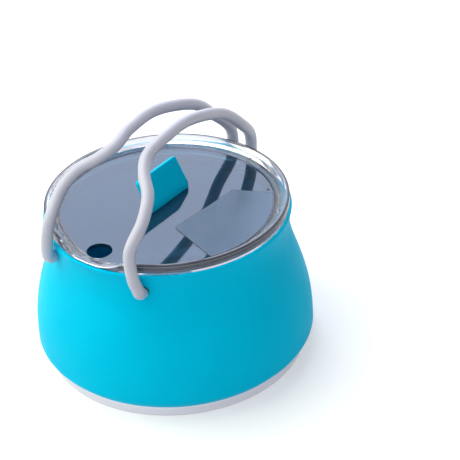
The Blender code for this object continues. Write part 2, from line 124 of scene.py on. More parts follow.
# Frosted label
LABEL_THICKNESS = 0.00015
LABEL_STANDOFF = LABEL_THICKNESS / 3
LABEL_INSET = 0.0010
LABEL_FRONT_CORNER_SHARES = (0.31, -0.27)
LABEL_REAR_CORNER_SHARES = (0.37, 0.53)
LABEL_FRONT_ARC_ANGLE = math.radians(-28)
LABEL_REAR_ARC_ANGLE = math.radians(44)
LABEL_CORNER = 0.0025
LABEL_BORDER = 0.00035
LABEL_ARC_STEPS = 48

# Pull tab
TAB_LENGTH = 0.0314
TAB_HEIGHT = 0.0160
TAB_THICKNESS = 0.0034
TAB_CORNER = 0.0022
TAB_LEAN = math.radians(29)
TAB_FROM_CENTRE = 0.0040
TAB_LEFT_OF_CENTRE = 0.0024
TAB_EDGE_ROUNDING = 0.0006
TAB_FOOT_ROUNDING = 0.0003
NECK_THICKNESS = 0.0020
NECK_LENGTH = 0.0220
NECK_PROUD = 0.0005
FOOT_LENGTH = 0.0290
FOOT_WIDTH = 0.0044
FOOT_PLATE = 0.0008
TAB_ROWS = 8

# Handles: the bow's points are shares of the front pivot's offset, the waist's radius and the height
WIRE_RADIUS = 0.0015
SLEEVE_RADIUS = 0.0032
SLEEVE_END_ROUNDING = 0.0007
SLEEVE_END_STANDOFF = 0.0008
FRONT_PIVOT_OFFSET = 0.0295
REAR_PIVOT_OFFSET = 0.0068
HANDLE_DRIFT = 0.0024
LEG_STANDOFF = 0.0051
LEG_BEND_RADIUS = 0.0033
HANDLE_HEIGHT = 0.0611
BOW_SHARES = (
    (0.97, -0.99, 0.19),
    (0.90, -0.96, 0.41),
    (0.92, -0.79, 0.60),
    (0.79, -0.63, 0.74),
    (0.52, -0.51, 0.83),
    (0.35, -0.37, 0.91),
    (0.36, -0.17, 0.97),
    (0.35, 0.17, 0.97),
    (0.31, 0.63, 0.79),
    (0.32, 0.90, 0.54),
    (0.23, 1.07, 0.32),
)
BOW_STEPS = 10
BEND_STEPS = 8
BUSH_RADIUS = 0.0028
BUSH_PROUD_OUTSIDE = 0.0010
BUSH_PROUD_INSIDE = 0.0017
BUSH_ROUNDING = 0.0004
RETAINER_RADIUS = 0.0036
RETAINER_THICKNESS = 0.0010
RETAINER_ROUNDING = 0.0003
WIRE_END_PROUD = 0.0006

# Stiffening ring inside the collar
RING_HEIGHT = 0.0072
RING_THICKNESS = 0.0018
RING_ROUNDING = 0.0004

# Places that follow from the sizes above
PAN_BAND_RADIUS = PAN_FOOT_RADIUS + PAN_BAND_FLARE
HEM_HEIGHT = PAN_BAND_HEIGHT + GAP
HEM_RADIUS = PAN_BAND_RADIUS + HEM_PROUD
BELLY_HEIGHT = HEM_HEIGHT + BELLY_ABOVE_HEM
BELLY_RADIUS = HEM_RADIUS + BELLY_SWELL
WAIST_HEIGHT = BELLY_HEIGHT + WAIST_ABOVE_BELLY
WAIST_RADIUS = BELLY_RADIUS - WAIST_NARROWING
COLLAR_TOP = WAIST_HEIGHT + COLLAR_ABOVE_WAIST
COLLAR_BORE = WAIST_RADIUS - WALL
SPOUT_START_HEIGHT = COLLAR_TOP - SPOUT_HEIGHT
RIM_RADIUS = WAIST_RADIUS + RIM_OVERHANG
RIM_TOP = COLLAR_TOP + RIM_RISE
PANEL_RADIUS = RIM_RADIUS - RIM_TOP_WIDTH - RIM_SLOPE_WIDTH
PANEL_TOP = RIM_TOP - PANEL_DEPTH
SHOULDER = COLLAR_TOP + GAP
PLUG_RADIUS = COLLAR_BORE - GAP
PLUG_BOTTOM = SHOULDER - PLUG_DEPTH
RING_TOP = PLUG_BOTTOM - GAP
RING_OUTER = COLLAR_BORE - GAP
RING_INNER = RING_OUTER - RING_THICKNESS
PIVOT_HEIGHT = RING_TOP - RING_HEIGHT / 2
TAB_AXIS_HEIGHT = PANEL_TOP + NECK_PROUD + GAP + TAB_THICKNESS / 2
TAB_PLACE = Vector((-TAB_LEFT_OF_CENTRE, TAB_FROM_CENTRE, TAB_AXIS_HEIGHT))

# Colours
SILICONE = (0.000, 0.550, 0.830)
SILICONE_DEEP = (0.000, 0.520, 0.795)
SLEEVE = (0.490, 0.500, 0.600)
SLEEVE_DEEP = (0.460, 0.470, 0.570)
PAN = (0.720, 0.710, 0.775)
PAN_DEEP = (0.660, 0.650, 0.715)
PANEL = (0.050, 0.220, 0.340)
# painted shade: the dark line round the panel's edge
PANEL_SHADE_LINE = (0.020, 0.022, 0.035)
RIM = (0.800, 0.800, 0.880)
# painted shade: the dark line along the rim's top
RIM_SHADE_LINE = (0.040, 0.042, 0.065)
LABEL = (0.480, 0.620, 0.780)
LABEL_DEEP = (0.440, 0.580, 0.740)
LABEL_EDGE = (0.010, 0.014, 0.020)
WIRE = (0.600, 0.600, 0.620)
BUSH = (0.030, 0.110, 0.140)
WEAR_SHADE = 0.85

# Gloss: the tints are those of the mirrored light
SILICONE_ROUGHNESS = (0.40, 0.54)
SILICONE_GLOSS = 0.03
SILICONE_GLOSS_TINT = (0.05, 0.85, 1.00)
SILICONE_SOFTNESS = 0.06
SILICONE_SOFT_DEPTHS = (0.0006, 0.0014, 0.0018)
SLEEVE_ROUGHNESS = (0.30, 0.40)
SLEEVE_GLOSS = 0.65
SLEEVE_SOFTNESS = 0.05
SLEEVE_SOFT_DEPTHS = (0.0010, 0.0010, 0.0012)
PAN_ROUGHNESS = (0.28, 0.44)
LID_CLARITY = 0.90
PANEL_IOR = 1.72
PANEL_TINT = (0.65, 0.67, 0.90)
PANEL_HAZE = 0.012
RIM_IOR = 1.40
RIM_TINT = (0.75, 0.86, 1.00)
RIM_HAZE = 0.05
LABEL_IOR = 1.30
LABEL_TINT = (0.60, 0.80, 1.00)
LABEL_ROUGHNESS = (0.26, 0.36)
LABEL_EDGE_ROUGHNESS = 0.4
WIRE_ROUGHNESS = 0.3
BUSH_ROUGHNESS = 0.5
WEAR_GLOSS_SHARES = (0.8, 1.2)

# Surface grain: the noises' scales, and the heights of the bumps
SILICONE_CLOUDS = 28
SILICONE_GRAIN = 2600
SILICONE_SMEARS = 75
SLEEVE_CLOUDS = 60
SLEEVE_GRAIN = 2400
PAN_LINES = 9000
PAN_BROAD_LINES = 900
PAN_MARKS = 40
LID_MARKS = 30
LABEL_GRAIN = 3800
LABEL_CLOUDS = 120
PLAIN_GRAIN = 1800
PLAIN_WEAR = 160
SILICONE_CLOUD_BUMP = 0.00012
SLEEVE_CLOUD_BUMP = 0.00008
MOULDED_GRAIN_BUMP = 0.000012
PAN_LINE_BUMP = 0.000006
PAN_MARK_BUMP = 0.00002
LABEL_GRAIN_BUMP = 0.000004
PLAIN_GRAIN_BUMP = 0.00001

# The part of a noise's values that is spread over a surface's range
NARROW_NOISE = (0.35, 0.65)
WIDE_NOISE = (0.30, 0.70)
UPPER_NOISE = (0.50, 0.80)

# Studio: a lamp's name, place, size, power and colour
LAMPS = (
    ("key", Vector((-0.90, -0.62, 0.75)), 1.1, 10.3, (1.0, 1.0, 0.73)),
    ("fill", Vector((0.10, -0.85, 1.20)), 1.3, 7.0, (0.96, 0.98, 1.0)),
    ("back", Vector((-0.56, 0.70, 0.68)), 0.95, 5.6, (0.84, 0.88, 1.0)),
    ("top", Vector((-0.44, 0.06, 1.18)), 0.8, 6.0, (0.96, 0.96, 1.0)),
)
LIGHT_AIM = Vector((0, 0, 0.06))
SKY_LEVEL = 0.36
WHITE_LEVEL = 1.0
FLOOR_SIZE = 6.0
FLOOR = (0.78, 0.78, 0.78)
FLOOR_ROUGHNESS = (0.85, 0.95)
FLOOR_GRAIN = 400
FLOOR_GLOW = 0.30
FLOOR_SHADOW_REACH = 0.20
FLOOR_WHITE_FROM = 0.80
WHITE = (1, 1, 1, 1)

# Where a mix node has its two colours and its result
MIX_COLOUR_INPUTS = (6, 7)
MIX_COLOUR_OUTPUT = 2


def clear_of(name):
    """A new scene object must not take a frame node's name."""
    return "look_" + name


def link_object(name, form, material, smooth_angle=SMOOTH_ANGLE):
    """Makes an object from a bmesh, shaded smooth except where it turns by more than an angle."""
    bmesh.ops.recalc_face_normals(form, faces=form.faces)
    mesh = bpy.data.meshes.new(clear_of(name))
    form.to_mesh(mesh)
    form.free()
    mesh.materials.append(material)
    mesh.shade_smooth()
    mesh.set_sharp_from_angle(angle=smooth_angle)
    made = bpy.data.objects.new(clear_of(name), mesh)
    bpy.context.scene.collection.objects.link(made)
    return made


def bake_modifiers(piece):
    """Replaces the mesh with its evaluated form and drops the modifiers."""
    graph = bpy.context.evaluated_depsgraph_get()
    mesh = bpy.data.meshes.new_from_object(piece.evaluated_get(graph))
    piece.modifiers.clear()
    piece.data = mesh


def add_cut(piece, form):
    """Sets a closed form to be taken out of the piece, and returns the object that does it."""
    bmesh.ops.recalc_face_normals(form, faces=form.faces)
    mesh = bpy.data.meshes.new("cutter")
    form.to_mesh(mesh)
    form.free()
    cutter = bpy.data.objects.new("cutter", mesh)
    bpy.context.scene.collection.objects.link(cutter)
    step = piece.modifiers.new("cut", "BOOLEAN")
    step.operation = "DIFFERENCE"
    step.solver = "EXACT"
    step.object = cutter
    return cutter


def spout_amount(angle):
    """1 in the middle of the spout, falling smoothly to 0 at its ends."""
    from_front = (angle + math.pi / 2 + math.pi) % (2 * math.pi) - math.pi
    part = (SPOUT_END_ANGLE - abs(from_front)) / (SPOUT_END_ANGLE - SPOUT_FULL_ANGLE)
    part = min(max(part, 0), 1)
    return part * part * (3 - 2 * part)


def turned(profile):
    """A closed outline turned about +Z. A point may say how far the spout moves it outwards and upwards."""
    form = bmesh.new()
    rings = []
    for radius, height, *moves in profile:
        if radius == 0:
            rings.append([form.verts.new((0, 0, height))])
            continue
        reach, rise = moves or (0, 0)
        ring = []
        for step in range(TURN_STEPS):
            angle = 2 * math.pi * step / TURN_STEPS
            amount = spout_amount(angle)
            out = radius + reach * amount
            place = (out * math.cos(angle), out * math.sin(angle), height + rise * amount)
            ring.append(form.verts.new(place))
        rings.append(ring)
    for low, high in zip(rings, rings[1:] + rings[:1]):
        if len(low) == 1 and len(high) == 1:
            continue
        for step in range(TURN_STEPS):
            after = (step + 1) % TURN_STEPS
            below = [low[place % len(low)] for place in (step, after)]
            above = [high[place % len(high)] for place in (after, step)]
            form.faces.new(list(dict.fromkeys(below + above)))
    return form


def round_corner(before, corner, after, radius):
    """An arc of this radius in place of a corner, which keeps the corner's moves by the spout."""
    middle = Vector(corner[:2])
    one = Vector(before[:2]) - middle
    two = Vector(after[:2]) - middle
    half = one.angle(two) / 2
    reach = radius / math.tan(half)
    centre = middle + (one.normalized() + two.normalized()).normalized() * radius / math.sin(half)
    start = (middle + one.normalized() * reach - centre).normalized()
    end = (middle + two.normalized() * reach - centre).normalized()
    arc = []
    for step in range(ROUND_STEPS + 1):
        place = centre + radius * start.slerp(end, step / ROUND_STEPS)
        arc.append((place.x, place.y, *corner[2:]))
    return arc


def rounded(outline, radii):
    """The outline with the corners named in radii, by index, rounded."""
    result = []
    for index, corner in enumerate(outline):
        if index in radii:
            after = outline[(index + 1) % len(outline)]
            result += round_corner(outline[index - 1], corner, after, radii[index])
        else:
            result.append(corner)
    return result


def tube(path, radii, sides=TUBE_SIDES, bore=0):
    """A round rod along a path, with a radius for each point, or a tube with this bore."""
    form = bmesh.new()
    runs = [(after - before).normalized() for before, after in zip(path, path[1:])]
    across = runs[0].orthogonal()
    outside, inside = [], []
    for point, radius, before, after in zip(path, radii, runs[:1] + runs, runs + runs[-1:]):
        along = (before + after).normalized()
        across = (across - across.dot(along) * along).normalized()
        other = along.cross(across)
        turns = [2 * math.pi * side / sides for side in range(sides)]
        spokes = [math.cos(turn) * across + math.sin(turn) * other for turn in turns]
        outside.append([form.verts.new(point + radius * spoke) for spoke in spokes])
        if bore:
            inside.append([form.verts.new(point + bore * spoke) for spoke in spokes])
    for rings in (outside, inside) if bore else (outside,):
        for low, high in zip(rings, rings[1:]):
            for side in range(sides):
                after = (side + 1) % sides
                form.faces.new((low[side], low[after], high[after], high[side]))
    for end in (0, -1):
        if not bore:
            form.faces.new(outside[end])
            continue
        for side in range(sides):
            after = (side + 1) % sides
            form.faces.new((outside[end][side], outside[end][after], inside[end][after], inside[end][side]))
    return form


def rod_with_round_ends(path, radius, rounding):
    """The path and radii of a rod whose ends are rounded off."""
    first = (path[1] - path[0]).normalized()
    last = (path[-1] - path[-2]).normalized()
    turns = [math.pi / 2 * step / ROUND_STEPS for step in range(ROUND_STEPS + 1)]
    insets = [rounding * (1 - math.cos(turn)) for turn in turns]
    end_radii = [radius - rounding * (1 - math.sin(turn)) for turn in turns]
    head = [path[0] + inset * first for inset in insets]
    tail = [path[-1] - inset * last for inset in reversed(insets)]
    middle = path[1:-1]
    return head + middle + tail, end_radii + [radius] * len(middle) + end_radii[::-1]


def plate(outline, low, high):
    """An outline of (x, y) points as a flat plate between two heights."""
    form = bmesh.new()
    below = [form.verts.new((x, y, low)) for x, y in outline]
    above = [form.verts.new((x, y, high)) for x, y in outline]
    form.faces.new(below)
    form.faces.new(above)
    for index, point in enumerate(below):
        after = (index + 1) % len(below)
        form.faces.new((point, below[after], above[after], above[index]))
    return form


def border_plate(outer, inner, low, high):
    """A flat border between two outlines of as many points, between two heights."""
    form = bmesh.new()
    loops = [
        [form.verts.new((x, y, height)) for x, y in outline]
        for outline, height in ((outer, low), (outer, high), (inner, high), (inner, low))
    ]
    for one, two in zip(loops, loops[1:] + loops[:1]):
        for index, point in enumerate(one):
            after = (index + 1) % len(one)
            form.faces.new((point, one[after], two[after], two[index]))
    return form


def rectangle(width, length, middle):
    """The corners of a rectangle about a middle point, across in X and along in Y."""
    return [
        (middle[0] + side * width / 2, middle[1] + end * length / 2)
        for side, end in ((-1, -1), (1, -1), (1, 1), (-1, 1))
    ]


def wall_radius(height):
    """The outer radius of the silicone body at a height."""
    if height < BELLY_HEIGHT:
        below = (BELLY_HEIGHT - height) / (BELLY_HEIGHT - HEM_HEIGHT)
        return BELLY_RADIUS - (BELLY_RADIUS - HEM_RADIUS) * below**HEM_CURVE_POWER
    if height < WAIST_HEIGHT:
        above = ((height - BELLY_HEIGHT) / (WAIST_HEIGHT - BELLY_HEIGHT)) ** WALL_CURVE_POWER
        return BELLY_RADIUS - (BELLY_RADIUS - WAIST_RADIUS) * above * above * (3 - 2 * above)
    flared = max(height - COLLAR_TOP + LIP_FLARE_HEIGHT, 0) / LIP_FLARE_HEIGHT
    return WAIST_RADIUS + LIP_PROUD * flared**LIP_FLARE_POWER


class Shader:
    """A Principled material and the nodes that feed it."""

    def __init__(self, name, colour, **settings):
        self.material = bpy.data.materials.new(name)
        self.material.use_nodes = True
        self.material.diffuse_color = (*colour, 1)
        self.tree = self.material.node_tree
        self.surface = self.tree.nodes["Principled BSDF"]
        self.set("Base Color", (*colour, 1))
        for key, value in settings.items():
            self.set(key.replace("_", " "), value)
        self.place = self.node("ShaderNodeTexCoord").outputs["Object"]

    def set(self, key, value):
        self.surface.inputs[key].default_value = value

    def node(self, kind, inputs=None, **settings):
        """A node with these settings, its inputs set to values or linked to other nodes' outputs."""
        made = self.tree.nodes.new(kind)
        for key, value in settings.items():
            setattr(made, key, value)
        for key, value in (inputs or {}).items():
            if isinstance(value, bpy.types.NodeSocket):
                self.tree.links.new(value, made.inputs[key])
            else:
                made.inputs[key].default_value = value
        return made

    def link(self, output, key):
        self.tree.links.new(output, self.surface.inputs[key])

    def noise(self, scale, detail=2.0, roughness=0.5, vector=None):
        made = self.node("ShaderNodeTexNoise", {
            "Vector": vector or self.place, "Scale": scale, "Detail": detail, "Roughness": roughness})
        return made.outputs["Fac"]

    def spread(self, value, low, high, start=0.0, end=1.0):
        """Maps a value between start and end to between low and high."""
        made = self.node("ShaderNodeMapRange", {
            "Value": value, "From Min": start, "From Max": end, "To Min": low, "To Max": high})
        return made.outputs["Result"]

    def product(self, one, two):
        return self.node("ShaderNodeMath", {0: one, 1: two}, operation="MULTIPLY").outputs[0]

    def mixed(self, factor, first, second):
        """The first colour where the factor is 0, turning into the second where it is 1."""
        made = self.node("ShaderNodeMix", {"Factor": factor}, data_type="RGBA")
        for index, colour in zip(MIX_COLOUR_INPUTS, (first, second)):
            made.inputs[index].default_value = (*colour, 1)
        return made.outputs[MIX_COLOUR_OUTPUT]

    def band(self, value, middle, half_width):
        """1 where the value is at the middle, falling to 0 half a width away."""
        rising = self.spread(value, 0, 1, middle - half_width, middle)
        falling = self.spread(value, 1, 0, middle, middle + half_width)
        return self.product(rising, falling)

    def cloud(self, noise, deep, colour, part=NARROW_NOISE):
        """A base colour that follows a noise between two colours."""
        self.link(self.mixed(self.spread(noise, 0, 1, *part), deep, colour), "Base Color")

    def rough(self, noise, limits, part=WIDE_NOISE):
        """A roughness that follows a noise between two limits."""
        self.link(self.spread(noise, *limits, *part), "Roughness")

    def soften(self, weight, depths):
        """Lets this share of the light go under the surface, to a depth for each colour."""
        self.set("Subsurface Weight", weight)
        self.set("Subsurface Radius", depths)
        self.set("Subsurface Scale", 1.0)

    def bump(self, *layers):
        """Bump from (height output, distance in metres) layers, one on the other."""
        normal = None
        for height, distance in layers:
            inputs = {"Height": height, "Distance": distance, "Strength": 1.0}
            if normal:
                inputs["Normal"] = normal
            normal = self.node("ShaderNodeBump", inputs).outputs["Normal"]
        self.link(normal, "Normal")

    def radius_and_height(self):
        """Coordinates that are the same all the way round."""
        parts = self.node("ShaderNodeSeparateXYZ", {"Vector": self.place})
        flat = self.node("ShaderNodeCombineXYZ", {"X": parts.outputs["X"], "Y": parts.outputs["Y"]})
        radius = self.node("ShaderNodeVectorMath", {0: flat.outputs[0]}, operation="LENGTH")
        return radius.outputs["Value"], parts.outputs["Z"]


def silicone_shader():
    """Turquoise silicone: satin, with a fine moulded grain, faint clouding and a smeared gloss."""
    made = Shader("turquoise_silicone", SILICONE, Specular_IOR_Level=SILICONE_GLOSS)
    made.set("Specular Tint", (*SILICONE_GLOSS_TINT, 1))
    made.soften(SILICONE_SOFTNESS, SILICONE_SOFT_DEPTHS)
    clouds = made.noise(SILICONE_CLOUDS, detail=4)
    grain = made.noise(SILICONE_GRAIN, detail=2)
    smears = made.noise(SILICONE_SMEARS, detail=5, roughness=0.6)
    made.cloud(clouds, SILICONE_DEEP, SILICONE)
    made.rough(smears, SILICONE_ROUGHNESS)
    made.bump((clouds, SILICONE_CLOUD_BUMP), (grain, MOULDED_GRAIN_BUMP))
    return made.material


def sleeve_shader():
    """Grey silicone sleeve: smooth, with a faint grain."""
    made = Shader("grey_sleeve", SLEEVE, Specular_IOR_Level=SLEEVE_GLOSS)
    made.soften(SLEEVE_SOFTNESS, SLEEVE_SOFT_DEPTHS)
    clouds = made.noise(SLEEVE_CLOUDS, detail=4)
    grain = made.noise(SLEEVE_GRAIN)
    made.cloud(clouds, SLEEVE_DEEP, SLEEVE)
    made.rough(clouds, SLEEVE_ROUGHNESS)
    made.bump((clouds, SLEEVE_CLOUD_BUMP), (grain, MOULDED_GRAIN_BUMP))
    return made.material


def pan_shader():
    """Satin metal with fine turned lines and faint handling marks."""
    made = Shader("satin_metal", PAN, Metallic=1.0)
    radius, height = made.radius_and_height()
    around = made.node("ShaderNodeCombineXYZ", {"X": radius, "Y": height}).outputs[0]
    lines = made.noise(PAN_LINES, detail=3, vector=around)
    broad = made.noise(PAN_BROAD_LINES, detail=2, vector=around)
    marks = made.noise(PAN_MARKS, detail=6, roughness=0.7)
    made.cloud(broad, PAN_DEEP, PAN, WIDE_NOISE)
    made.rough(marks, PAN_ROUGHNESS)
    made.bump((lines, PAN_LINE_BUMP), (marks, PAN_MARK_BUMP))
    return made.material


def clear_plastic(name, colour, ior, tint, haze):
    """Glossy see-through plastic with a faint haze that thickens in places."""
    made = Shader(name, colour, IOR=ior, Transmission_Weight=LID_CLARITY)
    made.set("Specular Tint", (*tint, 1))
    made.rough(made.noise(LID_MARKS, detail=6, roughness=0.7), (haze, 3 * haze), UPPER_NOISE)
    return made


def panel_shader():
    """Smoked plastic, with a painted dark line of shade where it turns up into the rim, except at the
    spout.
    """
    made = clear_plastic("smoked_plastic", PANEL, PANEL_IOR, PANEL_TINT, PANEL_HAZE)
    radius, _ = made.radius_and_height()
    length = made.node("ShaderNodeSeparateXYZ", {"Vector": made.place}).outputs["Y"]
    behind_spout = made.spread(length, 0, 1, -PANEL_SHADE_LINE_FRONT, GAP - PANEL_SHADE_LINE_FRONT)
    # painted shade: a dark line where the panel turns up into the rim, left out at the spout
    painted_shade = made.product(made.band(radius, PANEL_RADIUS, PANEL_SHADE_LINE_WIDTH), behind_spout)
    made.link(made.mixed(painted_shade, PANEL, PANEL_SHADE_LINE), "Base Color")
    return made.material


def rim_shader():
    """The lid's nearly clear rim, with a painted dark line of shade along its top, where less light goes
    through.
    """
    made = clear_plastic("clear_plastic", RIM, RIM_IOR, RIM_TINT, RIM_HAZE)
    radius, height = made.radius_and_height()
    high = made.spread(height, 0, 1, RIM_TOP - 2 * RIM_ROUNDING, RIM_TOP - RIM_ROUNDING)
    outer = made.spread(radius, 0, 1, RIM_RADIUS - 2 * RIM_SHADE_LINE_WIDTH, RIM_RADIUS - RIM_SHADE_LINE_WIDTH)
    # painted shade: a dark line along the rim's top outer edge, which also lets less light through
    painted_shade = made.product(high, outer)
    made.link(made.mixed(painted_shade, RIM, RIM_SHADE_LINE), "Base Color")
    made.link(made.spread(painted_shade, LID_CLARITY, 0), "Transmission Weight")
    return made.material


def label_shader():
    """Frosted film that lets the smoked panel through, with a fine etched grain."""
    made = Shader("frosted_film", LABEL, IOR=LABEL_IOR, Transmission_Weight=LID_CLARITY)
    made.set("Specular Tint", (*LABEL_TINT, 1))
    grain = made.noise(LABEL_GRAIN, detail=3)
    made.cloud(made.noise(LABEL_CLOUDS, detail=3), LABEL_DEEP, LABEL)
    made.rough(grain, LABEL_ROUGHNESS)
    made.bump((grain, LABEL_GRAIN_BUMP))
    return made.material


def plain_shader(name, colour, roughness, metallic=0.0):
    """A small piece's material: a grain along its surface and a little wear in the gloss."""
    made = Shader(name, colour, Metallic=metallic)
    grain = made.noise(PLAIN_GRAIN, detail=3)
    wear = made.noise(PLAIN_WEAR, detail=4)
    made.cloud(wear, [WEAR_SHADE * level for level in colour], colour)
    made.rough(wear, [share * roughness for share in WEAR_GLOSS_SHARES])
    made.bump((grain, PLAIN_GRAIN_BUMP))
    return made.material


def spout_share(height):
    """How much of the spout's move a point of the body takes at a height."""
    part = (height - SPOUT_START_HEIGHT) / (COLLAR_TOP - LIP_ROUNDING - SPOUT_START_HEIGHT)
    return min(max(part, 0), 1) ** 2


def body_point(height, inward=0.0):
    """A point of the body's outline at a height, this far inside its outer face, with the spout's moves."""
    share = spout_share(height)
    return (wall_radius(height) - inward, height, SPOUT_REACH * share, SPOUT_LIP_RISE * share)


def make_body(material):
    """The silicone body in one piece, with a rounded lip and hem and an upright bore under the lip."""
    low = HEM_HEIGHT + BODY_END_MARGIN
    high = COLLAR_TOP - BODY_END_MARGIN
    heights = [low + (high - low) * row / WALL_ROWS for row in range(WALL_ROWS + 1)]
    outer = [body_point(height) for height in (HEM_HEIGHT, *heights, COLLAR_TOP)]
    inner = []
    for height in (COLLAR_TOP, *reversed(heights), HEM_HEIGHT):
        radius, *rest = body_point(height, WALL)
        if WAIST_HEIGHT < height < heights[-1]:
            radius = min(radius, COLLAR_BORE)
        inner.append((radius, *rest))
    outline = outer + inner
    last_outer = len(outer) - 1
    radii = {0: HEM_ROUNDING, last_outer: LIP_ROUNDING, last_outer + 1: LIP_INNER_ROUNDING}
    body = link_object("silicone_body", turned(rounded(outline, radii)), material)
    cut_bush_holes(body, 3 * BUSH_RADIUS, 3 * BUSH_RADIUS)
    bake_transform(body)
    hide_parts("silicone_wall_lower", "silicone_wall_fold", "silicone_collar")


def finish_cuts(piece, cutters):
    """Makes the cuts final and removes the objects that made them."""
    bake_modifiers(piece)
    for cutter in cutters:
        bpy.data.objects.remove(cutter, do_unlink=True)
    piece.data.shade_smooth()
    piece.data.set_sharp_from_angle(angle=SMOOTH_ANGLE)


def cut_bush_holes(piece, outward_reach, inward_reach):
    """Takes the holes for the four bushes out of a piece, from outside the collar's face to inside it."""
    cutters = []
    for side in (-1, 1):
        front, rear, along = pivot_line(side)
        for place, inward in ((front, along), (rear, -along)):
            ends = [place - outward_reach * inward, place + inward_reach * inward]
            cutters.append(add_cut(piece, tube(ends, [BUSH_RADIUS + GAP / 2] * 2, HOLE_SIDES)))
    finish_cuts(piece, cutters)


def make_pan(material):
    """The pan: a recessed floor, a rounded foot, a band and a rim inside the silicone."""
    rim_inset = WALL + 2 * GAP
    rim_foot = wall_radius(HEM_HEIGHT) - rim_inset
    rim_top = PAN_BAND_HEIGHT + PAN_RIM_HEIGHT
    rim_end = wall_radius(rim_top) - rim_inset
    outline = [
        (0, PAN_RECESS_DEPTH),
        (PAN_RECESS_RADIUS - PAN_RECESS_DEPTH, PAN_RECESS_DEPTH),
        (PAN_RECESS_RADIUS, 0),
        (PAN_FOOT_RADIUS - PAN_EDGE_ROUNDING / 2, 0),
        (PAN_BAND_RADIUS, PAN_BAND_HEIGHT),
        (rim_foot, PAN_BAND_HEIGHT),
        (rim_end, rim_top),
        (rim_end - PAN_SHEET, rim_top),
        (rim_foot - PAN_SHEET, PAN_BAND_HEIGHT),
        (PAN_FOOT_RADIUS - PAN_SHEET, 2 * PAN_SHEET),
        (PAN_FOOT_RADIUS - 3 * PAN_SHEET, PAN_SHEET),
        (0, PAN_SHEET),
    ]
    radii = {3: PAN_EDGE_ROUNDING, 9: PAN_SHEET, 10: PAN_SHEET}
    for edge in (4, 6, 7):
        radii[edge] = PAN_SHEET / 4
    pan = link_object("pan", turned(rounded(outline, radii)), material)
    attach(pan, "base")
    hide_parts("base_pan")


def lid_outline():
    """The lid's outline with rounded corners, from the middle of its underside to the panel's middle."""
    rim_inner = RIM_RADIUS - RIM_TOP_WIDTH
    rim_moves = (SPOUT_REACH, -SPOUT_DIP)
    underside = PANEL_TOP - LID_SHEET
    plug_inner = PLUG_RADIUS - PLUG_THICKNESS
    slope = PANEL_DEPTH / RIM_SLOPE_WIDTH
    slope_start = PANEL_RADIUS + LID_SHEET / 2
    outline = [
        (0, underside),
        (slope_start, underside),
        (plug_inner, underside + slope * (plug_inner - slope_start)),
        (plug_inner, PLUG_BOTTOM),
        (PLUG_RADIUS, PLUG_BOTTOM),
        (PLUG_RADIUS, SHOULDER, 0, SPOUT_LIP_RISE),
        (RIM_RADIUS, SHOULDER, SPOUT_REACH / 2, SPOUT_LIP_RISE),
        (RIM_RADIUS, RIM_TOP, *rim_moves),
        (rim_inner, RIM_TOP, *rim_moves),
        (PANEL_RADIUS, PANEL_TOP, SPOUT_FLOOR_REACH, 0),
        (0, PANEL_TOP),
    ]
    radii = {1: PANEL_FILLET / 2, 6: RIM_ROUNDING / 2, 9: PANEL_FILLET}
    for edge in (3, 4, 7, 8):
        radii[edge] = RIM_ROUNDING
    return rounded(outline, radii)


def cut_lid(lid):
    """Takes the pour hole, the vent and the tab's slot out of the lid's panel, and rounds their edges."""
    low = PANEL_TOP - 2 * LID_SHEET
    high = PANEL_TOP + LID_SHEET
    cutters = []
    for radius, inset, angle in (
        (POUR_HOLE_RADIUS, POUR_HOLE_INSET, POUR_HOLE_ANGLE),
        (VENT_RADIUS, VENT_INSET, VENT_ANGLE),
    ):
        x = (PANEL_RADIUS - inset) * math.cos(angle)
        y = (PANEL_RADIUS - inset) * math.sin(angle)
        ends = [Vector((x, y, low)), Vector((x, y, high))]
        cutters.append(add_cut(lid, tube(ends, [radius] * 2, 2 * HOLE_SIDES)))
    slot = rectangle(NECK_THICKNESS + 2 * GAP, NECK_LENGTH + 2 * GAP, TAB_PLACE.xy)
    cutters.append(add_cut(lid, plate(slot, low, high)))
    edge = lid.modifiers.new("edge", "BEVEL")
    edge.width = HOLE_ROUNDING
    edge.segments = HOLE_ROUNDING_STEPS
    edge.limit_method = "ANGLE"
    edge.angle_limit = HOLE_EDGE_ANGLE
    finish_cuts(lid, cutters)


def make_lid(panel_material, rim_material):
    """The lid shell. The rim has its own material. Level faces are shaded flat, to mirror evenly."""
    lid = link_object("lid", turned(lid_outline()), panel_material)
    lid.data.materials.append(rim_material)
    cut_lid(lid)
    for face in lid.data.polygons:
        face.material_index = int(face.center.xy.length > PANEL_RADIUS + PANEL_SHADE_LINE_WIDTH)
        face.use_smooth = abs(face.normal.z) < LEVEL_FACE
    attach(lid, "lid")
    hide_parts("lid_shell")


def label_outline(grow):
    """The label's outline, grown all round by a margin."""
    arc_radius = PANEL_RADIUS - LABEL_INSET + grow
    turn = grow / arc_radius
    start = LABEL_FRONT_ARC_ANGLE - turn
    sweep = LABEL_REAR_ARC_ANGLE + turn - start
    angles = [start + sweep * step / LABEL_ARC_STEPS for step in range(LABEL_ARC_STEPS + 1)]
    arc = [(arc_radius * math.cos(angle), arc_radius * math.sin(angle)) for angle in angles]
    inner = [
        (PANEL_RADIUS * side - grow, PANEL_RADIUS * along + math.copysign(grow, along))
        for side, along in (LABEL_REAR_CORNER_SHARES, LABEL_FRONT_CORNER_SHARES)
    ]
    return rounded([*arc, *inner], {len(arc): LABEL_CORNER, len(arc) + 1: LABEL_CORNER})


def make_label(material, edge_material):
    """The bare frosted patch, on a hair of dark edge."""
    low = PANEL_TOP + LABEL_STANDOFF
    outline = label_outline(0)
    film = link_object("label", plate(outline, low, low + LABEL_THICKNESS), material)
    border = border_plate(label_outline(LABEL_BORDER), outline, PANEL_TOP + LABEL_STANDOFF / 2, low)
    edge = link_object("label_edge", border, edge_material)
    for piece in (film, edge):
        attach(piece, "lid")
    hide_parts("lid_label")


